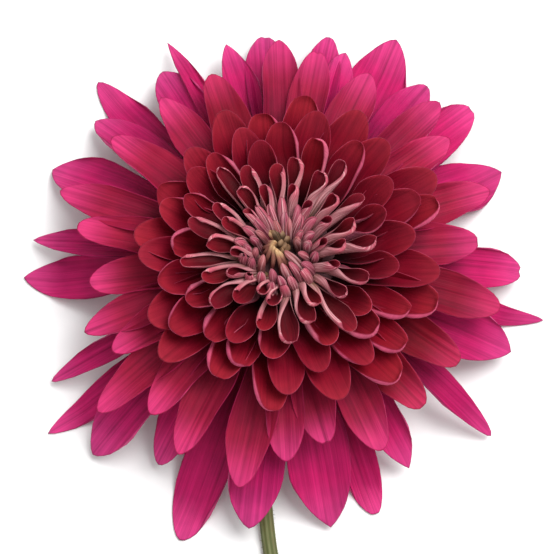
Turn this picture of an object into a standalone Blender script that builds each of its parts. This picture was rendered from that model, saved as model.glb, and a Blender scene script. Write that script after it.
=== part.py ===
"""A cut chrysanthemum bloom that lies face up on its outer florets, with its stem laid along the surface.

The bloom is built about the Z axis, with the surface at height 0. At the end everything is moved so that
the middle of the part's footprint is the origin. Sizes below are in millimetres and degrees.
"""

import math
import random
from collections import namedtuple

import bmesh
import bpy
from mathutils import Matrix, Vector

MM = 0.001
SEED = 41
GOLDEN_ANGLE = math.pi * (3.0 - math.sqrt(5.0))

# Florets: thickness of a blade, the shares of its length where the narrow claw ends, the full width
# starts and the tip starts, where the tip starts to curl up, how narrow the claw of a cup, of a spoon and
# of a lower floret is, the power of a round tip, and the step that a floret's direction is measured over
BLADE = 0.6
CLAW_END = 0.18
LIMB_START = 0.66
TIP_START = 0.68
CURL_START = 0.62
NARROW_CLAW = 0.16
SPOON_CLAW = 0.34
BROAD_CLAW = 0.36
ROUND_TIP = 2.0
FRAME_STEP = 0.01

# Facets: shares of the length where each kind of floret has a section, and the thickness of the rods
BLADE_COLUMNS = 3
PETAL_SHARES = (0.0, 0.4, 0.68, 0.88, 0.985)
CUP_SHARES = (0.0, 0.45, 0.7, 0.88, 0.975)
SPOON_SHARES = (0.0, 0.5, 0.82, 0.975)
QUILL_SIDES = 4
QUILL_SHARES = (0.0, 0.5, 0.82, 1.0)
QUILL_THICKNESS = (0.4, 0.55, 1.15, 0.5)
BUD_SHARES = (0.0, 0.8, 1.0)
BUD_THICKNESS = (0.5, 1.0, 0.5)

# The floret rows in the bloom's section: distance from the axis and height of root and tip, how steeply
# the floret leaves its root, its half width, how far its sides roll in, and how far its tip curls up
Row = namedtuple("Row", "root_r root_z tip_r tip_z rise half_width roll curl")
DISC_INNER = Row(0.2, 26.0, 0.3, 29.0, 90, 0.36, 0.0, 0.0)
DISC_OUTER = Row(1.15, 26.0, 2.3, 29.5, 78, 0.42, 0.0, 0.0)
QUILL_INNER = Row(2.9, 21.4, 3.9, 30.2, 88, 0.72, 0.0, 0.0)
QUILL_OUTER = Row(3.6, 21.2, 9.2, 31.2, 76, 0.92, 0.0, 0.0)
SPOON_INNER = Row(3.6, 21.2, 10.5, 31.6, 72, 1.45, 1.15, 0.8)
SPOON_OUTER = Row(4.4, 20.9, 20.5, 30.4, 52, 2.35, 1.10, 1.6)
CUP_INNER = Row(4.8, 18.6, 21.5, 28.0, 46, 3.70, 1.05, 3.4)
CUP_OUTER = Row(6.0, 18.0, 31.8, 23.0, 27, 4.60, 0.95, 3.6)
SECOND_ROOT = Row(7.0, 15.9, 41.0, 13.0, 22, 4.10, 0.70, 1.6)
OUTER_ROOT = Row(7.6, 15.1, 50.0, 2.5, 6, 4.40, 0.40, -0.4)

# The layers that follow one spiral from the centre of the heart outwards: how many florets each has, its
# innermost and outermost floret, how much of the heart's lean these two take, how much of its parting the
# layer takes, and how far its tips stray by chance
Layer = namedtuple("Layer", "count inner outer lean outer_lean part spread")
DISC = Layer(18, DISC_INNER, DISC_OUTER, 1.3, 1.0, 0.0, 0.15)
QUILLS = Layer(40, QUILL_INNER, QUILL_OUTER, 1.0, 0.5, -1.5, 0.4)
SPOONS = Layer(36, SPOON_INNER, SPOON_OUTER, 0.5, -0.2, 3.6, 0.8)
CUPS = Layer(50, CUP_INNER, CUP_OUTER, 0.0, -1.7, 0.0, 0.8)

# Chance in the spiral: degrees either way for direction and twist, shares of the layer's spread for the
# height and the sideways stray of a tip, and a share of the half width
DIRECTION_PLAY = 5.0
TWIST_PLAY = 8.0
HEIGHT_PLAY = 0.6
SWAY_PLAY = 0.6
WIDTH_PLAY = 0.08

# The lower rows, one floret each: direction of the tip, how far it reaches from the axis, its full
# width and the height of its tip. A resting floret droops from its root, and its end lies flat on the
# surface, because what would reach below height 0 is bent up to it.
RESTING = -5.0
RESTING_RISE = -10.0
SECOND_FLORETS = (
    (6, 37.5, 9, 16.5), (20, 42, 9, 15), (37, 40, 9, 17.5), (47, 44, 8.5, 14), (66, 41, 9, 16),
    (81, 43, 8.5, 15), (91, 45, 9, 13), (110, 40, 9, 15), (126, 40, 8.5, 17), (143, 41, 8.5, 16),
    (161, 45, 8.5, 14), (170, 40, 8.5, 17), (186, 37, 9, 16), (200, 40, 8.5, 16), (209, 37, 8.5, 18),
    (219, 45, 8.5, 13), (230, 39, 9, 17), (242, 42, 9, 15), (259, 44, 9.5, 14), (271, 39, 9, 17),
    (283, 37, 9, 18), (297, 41, 9, 16), (313, 39, 9, 17), (329, 39, 9, 17), (348, 42, 9, 15),
)
OUTER_FLORETS = (
    (2.2, 47.5, 9.5, 3), (28, 48.8, 11.5, RESTING), (42.9, 52, 10, 4), (54.5, 50, 9, 2),
    (65.9, 55.5, 12.5, RESTING), (75, 48, 8.5, 5), (79.5, 52, 8.5, 2), (94, 51.6, 9.3, 1),
    (103.2, 49.4, 8, 5), (115, 54.5, 5.5, 2), (119.3, 48.7, 10.5, 5), (131.5, 55.5, 8.5, RESTING),
    (138.5, 49.6, 9, 3), (152.9, 51.3, 10.5, 1), (170, 50, 7, 2), (178.4, 50.8, 9.5, RESTING),
    (203.6, 50, 6.2, 1), (213.2, 54.6, 7.4, RESTING), (223, 50.7, 11, 2), (236.8, 44.5, 9, 4),
    (248.6, 55, 10.3, RESTING), (262.5, 51, 12, 6.5), (280.7, 49.9, 12.7, 2), (291.3, 50.3, 8.8, RESTING),
    (303, 45, 9, 4), (322.8, 51.7, 6.5, 1), (342, 47, 11.3, 4), (352, 51.5, 6, RESTING),
)

# Each lower floret turns about its midline so that it laps over the next one, sways a little to one
# side, and has a blunt or a pointed tip. The tip of a narrow one starts further down.
SHINGLE = 9.0
SHINGLE_PLAY = 4.0
LOWER_SWAY = 2.0
POINTED_TIP = 1.1
BLUNT_TIP = 1.5
NARROW_WIDTH = 6.0
BROAD_WIDTH = 10.0
NARROW_TIP_START = 0.42

# The heart leans to one side and the cups round it to the other, and the heart's florets part on the
# lower right
HEART_LEAN = (-1.4, 0.6)
PARTING_AZIMUTH = -52.0
PARTING_SPREAD = 24.0

# Receptacle layers with the packed floret roots, one for each node of florets: half of each one's section
# (distance from the axis, height), with a flat bottom and a flat top
DISC_CORE = ((1.3, 25.6), (1.5, 26.6))
INNER_CORE = ((4.9, 20.3), (7.6, 23.2), (7.6, 24.6), (5.0, 25.3))
MIDDLE_CORE = ((6.6, 17.3), (10.6, 19.0), (11.0, 21.0), (8.6, 23.1), (5.6, 20.0))
OUTER_CORE = ((8.6, 14.0), (14.0, 14.4), (15.5, 16.2), (12.5, 18.3), (7.5, 17.0))
TURNED_SIDES = 16

# Calyx: a shallow green bowl under the bloom, with an inner and an outer row of pointed bracts
CALYX_PROFILE = ((2.6, 10.5), (5.0, 10.9), (7.4, 12.1), (8.6, 13.7))
BRACT_ROWS = (
    (8, Row(4.0, 10.9, 8.4, 11.9, 8, 1.3, 0.3, 0.0)),
    (12, Row(6.2, 11.9, 10.4, 13.4, 8, 1.5, 0.3, 0.0)),
)
BRACT_SHARES = (0.0, 0.6, 0.97)
BRACT_COLUMNS = 2
BRACT_TIP = 1.3

# Stem: its thickness, its sides, and the route of its axis from the calyx to the cut end
STEM_RADIUS = 1.4
STEM_NECK_RADIUS = 2.3
STEM_NECK_LENGTH = 5.0
STEM_SIDES = 10
STEM_STEPS = 2
STEM_SMOOTH = 50.0
STEM_LIE = STEM_RADIUS * math.cos(math.pi / STEM_SIDES)
STEM_ROUTE = (
    (0.0, 0.0, 10.2), (0.0, -0.5, 8.8), (0.0, -2.1, 6.3), (-0.2, -5.0, 4.0), (-0.5, -9.2, 2.4),
    (-1.1, -14.5, 1.6), (-1.9, -20.5, STEM_LIE), (-3.0, -30.0, STEM_LIE), (-3.6, -41.0, STEM_LIE),
    (-2.9, -50.0, STEM_LIE), (-1.7, -58.0, STEM_LIE), (0.1, -68.0, STEM_LIE), (2.1, -78.0, STEM_LIE),
    (4.2, -88.0, STEM_LIE),
)

# Colours, as linear shares of red, green and blue
STRAW = (0.32, 0.16, 0.07)
MAUVE = (0.27, 0.07, 0.11)
CRIMSON = (0.2, 0.015, 0.04)
MAGENTA = (0.5, 0.03, 0.15)
LEAF_GREEN = (0.1, 0.14, 0.05)
STEM_GREEN = (0.16, 0.17, 0.08)
PETAL_ROUGHNESS = 0.5
GREEN_ROUGHNESS = 0.6


def clear_scene():
    for thing in list(bpy.data.objects):
        bpy.data.objects.remove(thing, do_unlink=True)


def finish(name, colour, roughness):
    material = bpy.data.materials.new(name)
    material.use_nodes = True
    shader = material.node_tree.nodes["Principled BSDF"]
    shader.inputs["Base Color"].default_value = (*colour, 1.0)
    shader.inputs["Roughness"].default_value = roughness
    shader.inputs["Metallic"].default_value = 0.0
    return material


def mesh_object(name, points, faces):
    """A linked object from points in millimetres and faces that point outwards"""
    mesh = bpy.data.meshes.new(name)
    mesh.from_pydata([Vector(point) * MM for point in points], [], faces)
    mesh.validate()
    thing = bpy.data.objects.new(name, mesh)
    bpy.context.scene.collection.objects.link(thing)
    return thing


def between(first, second, share):
    return Row(*(a + (b - a) * share for a, b in zip(first, second)))


class Floret:
    """One floret's midline, an arc in its own upright plane, with the sizes of its blade"""

    def __init__(self, azimuth, row, sway=0.0, twist=0.0, claw=NARROW_CLAW, tip=ROUND_TIP,
                 tip_start=TIP_START):
        self.outward = Vector((math.cos(azimuth), math.sin(azimuth), 0.0))
        self.sideways = Vector((-math.sin(azimuth), math.cos(azimuth), 0.0))
        self.row = row
        self.sway = sway
        self.twist = twist
        self.claw = claw
        self.tip = tip
        self.tip_start = tip_start
        self.rise = math.radians(row.rise)
        chord_out = row.tip_r - row.root_r
        chord_up = row.tip_z - row.root_z
        chord_angle = math.atan2(chord_up, chord_out)
        self.end = 2.0 * chord_angle - self.rise
        half_turn = 0.5 * (self.end - self.rise)
        self.length = math.hypot(chord_out, chord_up) / arc_share(half_turn)

    def centre(self, u):
        """Point of the midline at share u of the floret's length"""
        half_turn = 0.5 * (self.end - self.rise) * u
        run = self.length * u * arc_share(half_turn)
        heading = self.rise + half_turn
        out = self.row.root_r + run * math.cos(heading)
        up = self.row.root_z + run * math.sin(heading)
        hook = self.row.curl * max(0.0, (u - CURL_START) / (1.0 - CURL_START)) ** 2
        out -= hook * math.sin(self.end)
        up += hook * math.cos(self.end)
        return self.outward * out + self.sideways * (self.sway * u * u) + Vector((0.0, 0.0, up))

    def frame(self, u):
        """Directions across the blade and out of its inner face at u"""
        along = (self.centre(u + FRAME_STEP) - self.centre(u - FRAME_STEP)).normalized()
        across = (self.sideways - along * self.sideways.dot(along)).normalized()
        inner = along.cross(across)
        turn = self.twist * u
        return (across * math.cos(turn) + inner * math.sin(turn),
                inner * math.cos(turn) - across * math.sin(turn))

    def half_width(self, u):
        limb = self.claw + (1.0 - self.claw) * smooth_step((u - CLAW_END) / (LIMB_START - CLAW_END))
        tip_share = max(0.0, (u - self.tip_start) / (1.0 - self.tip_start))
        tip = max(0.0, 1.0 - tip_share ** 2) ** (1.0 / self.tip)
        return self.row.half_width * limb * tip


def arc_share(half_turn):
    """Chord of an arc over its length"""
    return math.sin(half_turn) / half_turn if abs(half_turn) > 1e-6 else 1.0


def smooth_step(share):
    share = min(max(share, 0.0), 1.0)
    return share * share * (3.0 - 2.0 * share)


def blade_sections(floret, shares, columns):
    """Points of the inner and of the outer face at each share of the length, side to side"""
    sections = []
    roll = floret.row.roll
    for u in shares:
        centre = floret.centre(u)
        across, inner = floret.frame(u)
        radius = floret.half_width(u) / roll
        upper = []
        lower = []
        for column in range(columns):
            angle = roll * (2.0 * column / (columns - 1) - 1.0)
            point = centre + across * (radius * math.sin(angle))
            point += inner * (radius * (1.0 - math.cos(angle)))
            normal = inner * math.cos(angle) - across * math.sin(angle)
            top = point + normal * (0.5 * BLADE)
            bottom = point - normal * (0.5 * BLADE)
            top.z = max(top.z, BLADE)
            bottom.z = max(bottom.z, 0.0)
            upper.append(top)
            lower.append(bottom)
        sections.append((upper, lower))
    return sections


def blade(name, sections):
    """Closed blade, with its two faces split into triangles alike"""
    columns = len(sections[0][0])
    points = []
    for upper, lower in sections:
        points += upper + lower
    row = 2 * columns
    faces = []
    for section in range(len(sections) - 1):
        near = section * row
        far = near + row
        for column in range(columns - 1):
            a, b, c, d = near + column, near + column + 1, far + column + 1, far + column
            faces += [(a, c, b), (a, d, c)]
            a, b, c, d = (corner + columns for corner in (a, b, c, d))
            faces += [(a, b, c), (a, c, d)]
        left = (near, far, far + columns, near + columns)
        right = (near + columns - 1, far + columns - 1, far + row - 1, near + row - 1)
        faces += [(left[0], left[3], left[2]), (left[0], left[2], left[1])]
        faces += [(right[0], right[1], right[2]), (right[0], right[2], right[3])]
    last = (len(sections) - 1) * row
    for column in range(columns - 1):
        a, b = column, column + 1
        faces += [(a, b, b + columns), (a, b + columns, a + columns)]
        a, b = last + column, last + column + 1
        faces += [(a, b + columns, b), (a, a + columns, b + columns)]
    return mesh_object(name, points, faces)


def rod(name, rings):
    """Closed rod through rings of points that run anticlockwise seen from its far end"""
    count = len(rings[0])
    points = [point for ring in rings for point in ring]
    faces = []
    for ring in range(len(rings) - 1):
        for side in range(count):
            after = (side + 1) % count
            a, b = ring * count + side, ring * count + after
            c, d = b + count, a + count
            faces += [(a, b, c), (a, c, d)]
    last = (len(rings) - 1) * count
    faces.append(tuple(reversed(range(count))))
    faces.append(tuple(range(last, last + count)))
    return mesh_object(name, points, faces)


def quill(name, floret, shares, thickness):
    """Closed floret: a slim rod that swells into a club towards its tip"""
    rings = []
    for u, share in zip(shares, thickness):
        centre = floret.centre(u)
        across, inner = floret.frame(u)
        radius = floret.row.half_width * share
        angles = [2.0 * math.pi * side / QUILL_SIDES for side in range(QUILL_SIDES)]
        rings.append([
            centre + across * (radius * math.cos(angle)) + inner * (radius * math.sin(angle))
            for angle in angles
        ])
    return rod(name, rings)


def turned(name, profile):
    """Solid of revolution about the axis, closed with flat faces at the bottom and the top"""
    rings = []
    for radius, height in profile:
        angles = [2.0 * math.pi * side / TURNED_SIDES for side in range(TURNED_SIDES)]
        rings.append([Vector((radius * math.cos(a), radius * math.sin(a), height)) for a in angles])
    return rod(name, rings)


def largest_body(mesh):
    """Leaves only the biggest connected body, so sealed hollows are filled and scraps go"""
    shape = bmesh.new()
    shape.from_mesh(mesh)
    bmesh.ops.triangulate(shape, faces=shape.faces[:])
    unseen = set(shape.verts)
    bodies = []
    while unseen:
        start = unseen.pop()
        body = {start}
        queue = [start]
        while queue:
            for edge in queue.pop().link_edges:
                for vertex in edge.verts:
                    if vertex in unseen:
                        unseen.remove(vertex)
                        body.add(vertex)
                        queue.append(vertex)
        bodies.append(body)
    bodies.sort(key=len)
    spare = [vertex for body in bodies[:-1] for vertex in body]
    bmesh.ops.delete(shape, geom=spare, context="VERTS")
    shape.to_mesh(mesh)
    shape.free()


def fuse(name, core, pieces, material):
    """Joins the pieces to their core in one Boolean union, applied, and removes the pieces"""
    group = bpy.data.collections.new(name + "_pieces")
    bpy.context.scene.collection.children.link(group)
    for piece in pieces:
        group.objects.link(piece)
        bpy.context.scene.collection.objects.unlink(piece)
    union = core.modifiers.new("union", "BOOLEAN")
    union.operation = "UNION"
    union.operand_type = "COLLECTION"
    union.collection = group
    union.solver = "EXACT"
    bpy.context.view_layer.update()
    graph = bpy.context.evaluated_depsgraph_get()
    mesh = bpy.data.meshes.new_from_object(core.evaluated_get(graph))
    core.modifiers.clear()
    core.data = mesh
    for piece in pieces:
        bpy.data.objects.remove(piece, do_unlink=True)
    bpy.data.collections.remove(group)
    largest_body(mesh)
    dress(core, name, material)
    return core


def dress(thing, name, material):
    thing.name = name
    thing.data.name = name
    thing.data.materials.clear()
    thing.data.materials.append(material)


def parting(azimuth):
    """1 in the direction where the heart's florets part, falling to 0 on both sides"""
    off = math.degrees(azimuth) - PARTING_AZIMUTH
    off = (off + 180.0) % 360.0 - 180.0
    return math.exp(-(off / PARTING_SPREAD) ** 2)


def spiral_florets(first, layer, draw, claw=NARROW_CLAW):
    """Florets of a layer along the bloom's one spiral, from its place number first onwards"""
    florets = []
    nearest = math.sqrt(first + 0.5)
    furthest = math.sqrt(first + layer.count - 0.5)
    for place in range(first, first + layer.count):
        share = (math.sqrt(place + 0.5) - nearest) / (furthest - nearest)
        stray = math.radians(draw.uniform(-DIRECTION_PLAY, DIRECTION_PLAY))
        azimuth = place * GOLDEN_ANGLE + stray
        row = between(layer.inner, layer.outer, share)
        lean = layer.lean + (layer.outer_lean - layer.lean) * share
        out_lean = lean * (HEART_LEAN[0] * math.cos(azimuth) + HEART_LEAN[1] * math.sin(azimuth))
        side_lean = lean * (HEART_LEAN[1] * math.cos(azimuth) - HEART_LEAN[0] * math.sin(azimuth))
        reach = out_lean + layer.part * parting(azimuth) + layer.spread * draw.uniform(-1.0, 1.0)
        row = row._replace(
            tip_r=row.tip_r + reach,
            tip_z=row.tip_z + HEIGHT_PLAY * layer.spread * draw.uniform(-1.0, 1.0),
            half_width=row.half_width * draw.uniform(1.0 - WIDTH_PLAY, 1.0 + WIDTH_PLAY),
        )
        sway = side_lean + SWAY_PLAY * layer.spread * draw.uniform(-1.0, 1.0)
        twist = math.radians(draw.uniform(-TWIST_PLAY, TWIST_PLAY))
        florets.append(Floret(azimuth, row, sway, twist, claw))
    return florets


def listed_florets(listing, row, draw):
    """Florets of a lower row, each with its own direction, reach, width and height of tip"""
    florets = []
    for direction, reach, width, tip_height in listing:
        sway = draw.uniform(-LOWER_SWAY, LOWER_SWAY)
        azimuth = math.radians(direction) - sway / reach
        own = row._replace(tip_r=reach, tip_z=tip_height, half_width=0.5 * width)
        if tip_height == RESTING:
            own = own._replace(rise=RESTING_RISE, curl=0.0)
        twist = math.radians(SHINGLE + draw.uniform(-SHINGLE_PLAY, SHINGLE_PLAY))
        tip = draw.uniform(POINTED_TIP, BLUNT_TIP)
        broad = smooth_step((width - NARROW_WIDTH) / (BROAD_WIDTH - NARROW_WIDTH))
        tip_start = NARROW_TIP_START + (TIP_START - NARROW_TIP_START) * broad
        florets.append(Floret(azimuth, own, sway, twist, BROAD_CLAW, tip, tip_start))
    return florets


def make_disc_florets():
    draw = random.Random(SEED)
    pieces = [quill("bud", floret, BUD_SHARES, BUD_THICKNESS) for floret in spiral_florets(0, DISC, draw)]
    core = turned("disc_core", DISC_CORE)
    return fuse("disc_florets", core, pieces, finish("straw", STRAW, PETAL_ROUGHNESS))


def make_inner_florets():
    draw = random.Random(SEED + 1)
    quills = spiral_florets(DISC.count, QUILLS, draw)
    spoons = spiral_florets(DISC.count + QUILLS.count, SPOONS, draw, SPOON_CLAW)
    pieces = [quill("quill", floret, QUILL_SHARES, QUILL_THICKNESS) for floret in quills]
    pieces += [blade("spoon", blade_sections(floret, SPOON_SHARES, BLADE_COLUMNS)) for floret in spoons]
    core = turned("inner_core", INNER_CORE)
    return fuse("inner_florets", core, pieces, finish("mauve", MAUVE, PETAL_ROUGHNESS))


def make_middle_florets():
    draw = random.Random(SEED + 2)
    cups = spiral_florets(DISC.count + QUILLS.count + SPOONS.count, CUPS, draw)
    pieces = [blade("cup", blade_sections(floret, CUP_SHARES, BLADE_COLUMNS)) for floret in cups]
    core = turned("middle_core", MIDDLE_CORE)
    return fuse("middle_florets", core, pieces, finish("crimson", CRIMSON, PETAL_ROUGHNESS))


def make_outer_florets():
    draw = random.Random(SEED + 3)
    florets = listed_florets(SECOND_FLORETS, SECOND_ROOT, draw)
    florets += listed_florets(OUTER_FLORETS, OUTER_ROOT, draw)
    pieces = [blade("petal", blade_sections(floret, PETAL_SHARES, BLADE_COLUMNS)) for floret in florets]
    core = turned("outer_core", OUTER_CORE)
    return fuse("outer_florets", core, pieces, finish("magenta", MAGENTA, PETAL_ROUGHNESS))


def make_calyx():
    bowl = turned("calyx_bowl", CALYX_PROFILE)
    bracts = []
    for turn, (count, row) in enumerate(BRACT_ROWS):
        for place in range(count):
            azimuth = 2.0 * math.pi * (place + 0.5 * turn) / count
            bract = Floret(azimuth, row, claw=1.0, tip=BRACT_TIP)
            bracts.append(blade("bract", blade_sections(bract, BRACT_SHARES, BRACT_COLUMNS)))
    return fuse("calyx", bowl, bracts, finish("leaf_green", LEAF_GREEN, GREEN_ROUGHNESS))


def smooth_route(points, steps):
    """Points of a smooth curve through the given ones"""
    padded = [2.0 * points[0] - points[1], *points, 2.0 * points[-1] - points[-2]]
    route = []
    for index in range(1, len(padded) - 2):
        a, b, c, d = padded[index - 1:index + 3]
        for step in range(steps):
            t = step / steps
            route.append(0.5 * (2.0 * b + (c - a) * t + (2.0 * a - 5.0 * b + 4.0 * c - d) * t ** 2
                                + (3.0 * b - a - 3.0 * c + d) * t ** 3))
    route.append(points[-1])
    return route


def make_stem():
    route = smooth_route([Vector(point) for point in STEM_ROUTE], STEM_STEPS)
    rings = []
    travelled = 0.0
    for index, point in enumerate(route):
        before = route[max(index - 1, 0)]
        after = route[min(index + 1, len(route) - 1)]
        travelled += (point - before).length
        along = (after - before).normalized() if index else Vector((0.0, 0.0, -1.0))
        across = (Vector((1.0, 0.0, 0.0)) - along * along.x).normalized()
        upper = along.cross(across)
        neck = 1.0 - smooth_step(travelled / STEM_NECK_LENGTH)
        radius = STEM_RADIUS + (STEM_NECK_RADIUS - STEM_RADIUS) * neck
        ring = []
        for side in range(STEM_SIDES):
            angle = 2.0 * math.pi * side / STEM_SIDES
            corner = point + across * (radius * math.cos(angle)) + upper * (radius * math.sin(angle))
            corner.z = max(corner.z, 0.0)
            ring.append(corner)
        rings.append(ring)
    stem = rod("stem", rings)
    stem.data.shade_smooth()
    stem.data.set_sharp_from_angle(angle=math.radians(STEM_SMOOTH))
    dress(stem, "stem", finish("stem_green", STEM_GREEN, GREEN_ROUGHNESS))
    return stem


def centre_footprint(things):
    """Moves everything so that the middle of the footprint is the origin"""
    corners = [thing.matrix_world @ vertex.co for thing in things for vertex in thing.data.vertices]
    middle_x = 0.5 * (min(corner.x for corner in corners) + max(corner.x for corner in corners))
    middle_y = 0.5 * (min(corner.y for corner in corners) + max(corner.y for corner in corners))
    for thing in things:
        thing.data.transform(Matrix.Translation((-middle_x, -middle_y, 0.0)))


def main():
    clear_scene()
    centre_footprint([
        make_stem(), make_calyx(), make_outer_florets(), make_middle_florets(), make_inner_florets(),
        make_disc_florets(),
    ])


main()
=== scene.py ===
"""Looks of a cut chrysanthemum that lies face up, its stem along the surface.

The florets follow the same rule as the solids: one spiral for the heart and the cups, and a list for the
lower rows. Lengths are in millimetres about the bloom's axis until a tree's last step, angles in degrees
where a person reads them.
"""

import math
import random
from collections import namedtuple

import bpy
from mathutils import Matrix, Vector


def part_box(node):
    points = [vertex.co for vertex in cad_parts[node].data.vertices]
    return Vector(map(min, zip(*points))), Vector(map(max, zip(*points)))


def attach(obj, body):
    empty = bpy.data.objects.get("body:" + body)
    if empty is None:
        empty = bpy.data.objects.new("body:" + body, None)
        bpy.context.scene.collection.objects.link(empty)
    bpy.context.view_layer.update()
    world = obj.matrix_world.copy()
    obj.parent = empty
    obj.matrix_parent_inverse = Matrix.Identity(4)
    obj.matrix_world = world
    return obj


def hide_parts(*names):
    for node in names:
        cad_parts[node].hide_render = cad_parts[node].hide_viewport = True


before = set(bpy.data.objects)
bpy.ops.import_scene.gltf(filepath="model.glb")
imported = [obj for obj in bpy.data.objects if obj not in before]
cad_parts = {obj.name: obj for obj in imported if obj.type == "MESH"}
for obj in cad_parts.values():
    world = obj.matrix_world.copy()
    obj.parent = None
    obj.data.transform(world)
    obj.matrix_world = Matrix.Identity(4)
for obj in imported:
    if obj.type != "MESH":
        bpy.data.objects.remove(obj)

MM = 0.001
SEED = 41
GOLDEN_ANGLE = math.pi * (3.0 - math.sqrt(5.0))

# The floret rows in the bloom's section, as in the solids: distance from the axis and height of root and
# tip, how steeply the floret leaves its root, its half width, how far its sides roll in, and how far its
# tip curls up
Row = namedtuple("Row", "root_r root_z tip_r tip_z rise half_width roll curl")
DISC_INNER = Row(0.2, 26.0, 0.3, 29.0, 90, 0.36, 0.0, 0.0)
DISC_OUTER = Row(1.15, 26.0, 2.3, 29.5, 78, 0.42, 0.0, 0.0)
QUILL_INNER = Row(2.9, 21.4, 3.9, 30.2, 88, 0.72, 0.0, 0.0)
QUILL_OUTER = Row(3.6, 21.2, 9.2, 31.2, 76, 0.92, 0.0, 0.0)
SPOON_INNER = Row(3.6, 21.2, 10.5, 31.6, 72, 1.45, 1.15, 0.8)
SPOON_OUTER = Row(4.4, 20.9, 20.5, 30.4, 52, 2.35, 1.10, 1.6)
CUP_INNER = Row(4.8, 18.6, 21.5, 28.0, 46, 3.70, 1.05, 3.4)
CUP_OUTER = Row(6.0, 18.0, 31.8, 23.0, 27, 4.60, 0.95, 3.6)
SECOND_ROOT = Row(7.0, 15.9, 41.0, 13.0, 22, 4.10, 0.70, 1.6)
OUTER_ROOT = Row(7.6, 15.1, 50.0, 2.5, 6, 4.40, 0.40, -0.4)

# The layers along the spiral: how many florets, the innermost and the outermost one, how much of the
# heart's lean these two take, how much of its parting, and how far the tips stray by chance
Layer = namedtuple("Layer", "count inner outer lean outer_lean part spread")
DISC = Layer(18, DISC_INNER, DISC_OUTER, 1.3, 1.0, 0.0, 0.15)
QUILLS = Layer(40, QUILL_INNER, QUILL_OUTER, 1.0, 0.5, -1.5, 0.4)
SPOONS = Layer(36, SPOON_INNER, SPOON_OUTER, 0.5, -0.2, 3.6, 0.8)
CUPS = Layer(50, CUP_INNER, CUP_OUTER, 0.0, -1.7, 0.0, 0.8)

# What chance changes: a floret's direction and twist by so many degrees, the height and the sway of its
# tip by so much of its layer's spread, and its width by this share
DIRECTION_PLAY = 5.0
TWIST_PLAY = 8.0
HEIGHT_PLAY = 0.6
SWAY_PLAY = 0.6
WIDTH_PLAY = 0.08

# The lower rows: direction of the tip, reach from the axis, full width and height of the tip. A resting
# floret droops from its root and its end lies flat on the surface.
RESTING = -5.0
RESTING_RISE = -10.0
SECOND_FLORETS = (
    (6, 37.5, 9, 16.5), (20, 42, 9, 15), (37, 40, 9, 17.5), (47, 44, 8.5, 14), (66, 41, 9, 16),
    (81, 43, 8.5, 15), (91, 45, 9, 13), (110, 40, 9, 15), (126, 40, 8.5, 17), (143, 41, 8.5, 16),
    (161, 45, 8.5, 14), (170, 40, 8.5, 17), (186, 37, 9, 16), (200, 40, 8.5, 16), (209, 37, 8.5, 18),
    (219, 45, 8.5, 13), (230, 39, 9, 17), (242, 42, 9, 15), (259, 44, 9.5, 14), (271, 39, 9, 17),
    (283, 37, 9, 18), (297, 41, 9, 16), (313, 39, 9, 17), (329, 39, 9, 17), (348, 42, 9, 15),
)
OUTER_FLORETS = (
    (2.2, 47.5, 9.5, 3), (28, 48.8, 11.5, RESTING), (42.9, 52, 10, 4), (54.5, 50, 9, 2),
    (65.9, 55.5, 12.5, RESTING), (75, 48, 8.5, 5), (79.5, 52, 8.5, 2), (94, 51.6, 9.3, 1),
    (103.2, 49.4, 8, 5), (115, 54.5, 5.5, 2), (119.3, 48.7, 10.5, 5), (131.5, 55.5, 8.5, RESTING),
    (138.5, 49.6, 9, 3), (152.9, 51.3, 10.5, 1), (170, 50, 7, 2), (178.4, 50.8, 9.5, RESTING),
    (203.6, 50, 6.2, 1), (213.2, 54.6, 7.4, RESTING), (223, 50.7, 11, 2), (236.8, 44.5, 9, 4),
    (248.6, 55, 10.3, RESTING), (262.5, 51, 12, 6.5), (280.7, 49.9, 12.7, 2),
    (291.3, 50.3, 8.8, RESTING), (303, 45, 9, 4), (322.8, 51.7, 6.5, 1), (342, 47, 11.3, 4),
    (352, 51.5, 6, RESTING),
)

# Lower florets overlap like shingles, turned by so many degrees. Their tips sway and are pointed or
# blunt by chance, start sooner in narrow ones, and are rounder in the second row. Some have a notch, and
# one side of their border rolls over.
SHINGLE = 9.0
SHINGLE_PLAY = 4.0
LOWER_SWAY = 2.0
LOWER_CLAW = 0.38
TIP_RANGE = (1.1, 1.5)
ROUNDER_TIP = 0.6
WIDTH_RANGE = (6.0, 10.0)
TIP_STARTS = (0.42, 0.68)
NOTCH_RANGE = (-0.05, 0.035)
LOWER_LOP = 1.4
LOP_SIDE_RANGE = (-1.0, 0.5)

# Where the lower florets are browner, as directions with their spread, and how much of a floret's
# colour this decides, the rest being chance
BROWNED_SIDES = ((327.0, 32.0), (112.0, 11.0))
BROWNED_WEIGHT = 0.65

# The heart leans to one side and the cups round it to the other, and the quills' roots are shifted. The
# heart's florets part on the lower right, where a slit opens too: how far round it spreads, how far it
# moves a tip, and where from the axis outwards it opens, starts to fade and over how much.
HEART_LEAN = (-1.4, 0.6)
HEART_ROOT = (0.5, -2.3)
PARTING_AZIMUTH = -52.0
PARTING_SPREAD = 24.0
SLIT_AZIMUTH = -36.0
SLIT_SPREAD = 30.0
SLIT_WIDTH = 2.2
SLIT_OPENS = (6.5, 8.5)
SLIT_REACH = 13.0
SLIT_FADE = 4.0

# Where tubes open later, where the buds are round, and where quills arch inwards, with how sharply the
# last two change round the heart and how much flatter an arched quill leaves its root
LATE_AZIMUTH = 40.0
BUD_AZIMUTH = 40.0
BUD_CHANGE = 1.2
NEAR_AZIMUTH = 255.0
NEAR_CHANGE = 0.8
NEAR_ARCH = 58.0

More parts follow.
